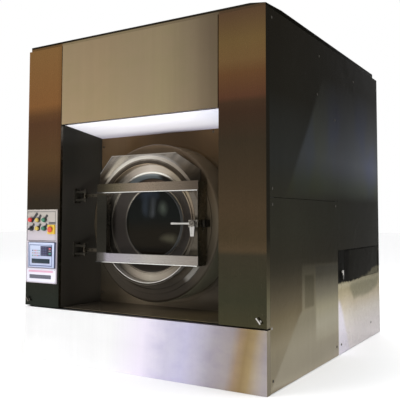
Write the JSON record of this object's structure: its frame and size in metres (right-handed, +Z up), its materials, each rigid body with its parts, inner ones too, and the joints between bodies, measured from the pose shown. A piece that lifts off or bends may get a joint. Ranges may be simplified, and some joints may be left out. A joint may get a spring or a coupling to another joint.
{
  "type": "industrial washer extractor",
  "caption": "Large free-standing stainless laundry machine with a recessed hinged glass door, belt-driven drum in a tub, side control panel, plinth and removable panels.",
  "frame": {"origin": "middle of the cabinet footprint, on the floor", "axes": "+X to the right seen from the front, +Y from the front to the back, +Z up; the door faces -Y"},
  "size_m": [1.7119, 1.944, 1.953],
  "materials": {
    "frame_paint": "matt dark paint",
    "pillar_steel": "brushed stainless, vertical grain",
    "header_steel": "brushed stainless, warm reflection",
    "plinth_steel": "bright brushed stainless",
    "side_steel": "satin stainless sheet",
    "cover_steel": "dull stainless",
    "recess_steel": "polished dark stainless",
    "recess_ceiling_steel": "bright stainless",
    "tub_steel": "rolled stainless",
    "drum_steel": "perforated polished stainless",
    "machined_steel": "machined steel",
    "cast_iron_paint": "blue-grey casting paint",
    "pulley_iron": "dark cast iron",
    "rubber": "black rubber",
    "brass": "turned brass",
    "drain_plastic": "grey plastic pipe",
    "grey_paint": "light grey powder coat",
    "panel_paint": "beige-grey powder coat",
    "black_plastic": "black moulded plastic",
    "controller_case": "dark blue-grey plastic",
    "keypad_film": "pale blue membrane",
    "lamp_red": "translucent red lens",
    "yellow_plastic": "yellow moulded plastic",
    "green_plastic": "green moulded plastic",
    "red_plastic": "red moulded plastic",
    "door_steel": "satin stainless",
    "door_ring_steel": "spun stainless",
    "bar_steel": "brushed stainless bar",
    "door_glass": "dark toughened glass",
    "chrome": "bright chrome"
  },
  "bodies": {
    "cabinet": {"base_frame": "frame_paint", "upright_frame": "frame_paint", "left_pillar": "pillar_steel", "right_pillar": "pillar_steel", "header_panel": "header_steel", "plinth_panel": "plinth_steel", "top_cover": "cover_steel", "recess_ceiling": "recess_ceiling_steel", "recess_side_walls": "recess_steel", "recess_floor": "recess_steel", "recess_back_plate": "recess_steel", "right_front_upper_panel": "side_steel", "right_front_lower_panel": "side_steel", "right_rear_upper_panel": "side_steel", "right_rear_lower_panel": "side_steel", "left_front_panel": "side_steel", "left_rear_panel": "side_steel", "rear_panel": "side_steel", "tub_shell": "tub_steel", "tub_front": "recess_steel", "door_gasket": "rubber", "bearing_housing": "cast_iron_paint", "shaft_bearings": "machined_steel", "shaft_seal": "rubber", "drive_belts": "rubber", "motor_body": "cast_iron_paint", "motor_bracket": "frame_paint", "drain_valve": "drain_plastic", "inlet_valves": "brass", "electrical_box": "grey_paint", "cable_gland": "black_plastic", "control_panel_plate": "panel_paint", "controller_housing": "controller_case", "controller_face": "keypad_film", "button_bezels": "black_plastic", "pilot_lamps": "lamp_red", "hinge_bracket": "door_steel", "hinge_pins": "machined_steel", "panel_screws": "machined_steel"},
    "drum": {"drum_basket": "drum_steel", "drum_lifters": "drum_steel", "drum_shaft": "machined_steel", "drum_pulley": "pulley_iron"},
    "motor_rotor": {"motor_pulley": "pulley_iron"},
    "door": {"door_plate": "door_steel", "door_ring": "door_ring_steel", "door_glass": "door_glass", "glass_gasket": "rubber", "door_frame": "bar_steel", "hinge_arms": "door_steel", "latch_block": "door_steel"},
    "handle": {"door_handle": "chrome"},
    "selector": {"selector_switch": "black_plastic"},
    "yellow_push": {"yellow_button": "yellow_plastic"},
    "green_push": {"green_button": "green_plastic"},
    "estop": {"estop_button": "red_plastic"},
    "right_lock": {"right_panel_lock": "chrome"},
    "left_lock": {"left_panel_lock": "chrome"},
    "hatch_turn_lock": {"hatch_lock": "chrome"},
    "hatch": {"service_hatch": "side_steel"}
  },
  "joints": [
    {"name": "drum_spin", "type": "hinge", "parent": "cabinet", "child": "drum", "pos_m": [0, 0, 0.834], "axis": [0, 1, 0], "continuous": true},
    {"name": "motor_spin", "type": "hinge", "parent": "cabinet", "child": "motor_rotor", "pos_m": [-0.47, 0.66, 0.3], "axis": [0, 1, 0], "continuous": true},
    {"name": "door_hinge", "type": "hinge", "parent": "cabinet", "child": "door", "pos_m": [-0.49, -0.8, 0.834], "axis": [0, 0, -1], "range_deg": [0, 88]},
    {"name": "handle_turn", "type": "hinge", "parent": "door", "child": "handle", "pos_m": [0.362, -0.86, 0.832], "axis": [0, -1, 0], "range_deg": [0, 90]},
    {"name": "selector_turn", "type": "hinge", "parent": "cabinet", "child": "selector", "pos_m": [-0.792, -0.955, 0.8], "axis": [0, -1, 0], "range_deg": [-45, 45]},
    {"name": "yellow_press", "type": "slide", "parent": "cabinet", "child": "yellow_push", "axis": [0, 1, 0], "range_m": [0, 0.004], "stiffness_N_per_m": 300, "springref_m": -0.002},
    {"name": "green_press", "type": "slide", "parent": "cabinet", "child": "green_push", "axis": [0, 1, 0], "range_m": [0, 0.004], "stiffness_N_per_m": 300, "springref_m": -0.002},
    {"name": "estop_press", "type": "slide", "parent": "cabinet", "child": "estop", "axis": [0, 1, 0], "range_m": [0, 0.005], "stiffness_N_per_m": 500, "springref_m": -0.002},
    {"name": "right_lock_turn", "type": "hinge", "parent": "cabinet", "child": "right_lock", "pos_m": [0.812, -0.945, 0.356], "axis": [0, -1, 0], "range_deg": [0, 90]},
    {"name": "left_lock_turn", "type": "hinge", "parent": "cabinet", "child": "left_lock", "pos_m": [-0.815, -0.945, 0.358], "axis": [0, -1, 0], "range_deg": [0, 90]},
    {"name": "hatch_lock_turn", "type": "hinge", "parent": "cabinet", "child": "hatch_turn_lock", "pos_m": [0.855, 0.124, 0.516], "axis": [1, 0, 0], "range_deg": [0, 90]},
    {"name": "hatch_hinge", "type": "hinge", "parent": "cabinet", "child": "hatch", "pos_m": [0.849, 0.905, 0.55], "axis": [0, 0, 1], "range_deg": [0, 100]}
  ],
  "couplings": [
    {"joint": "motor_spin", "follows": "drum_spin", "ratio": 5.4}
  ]
}
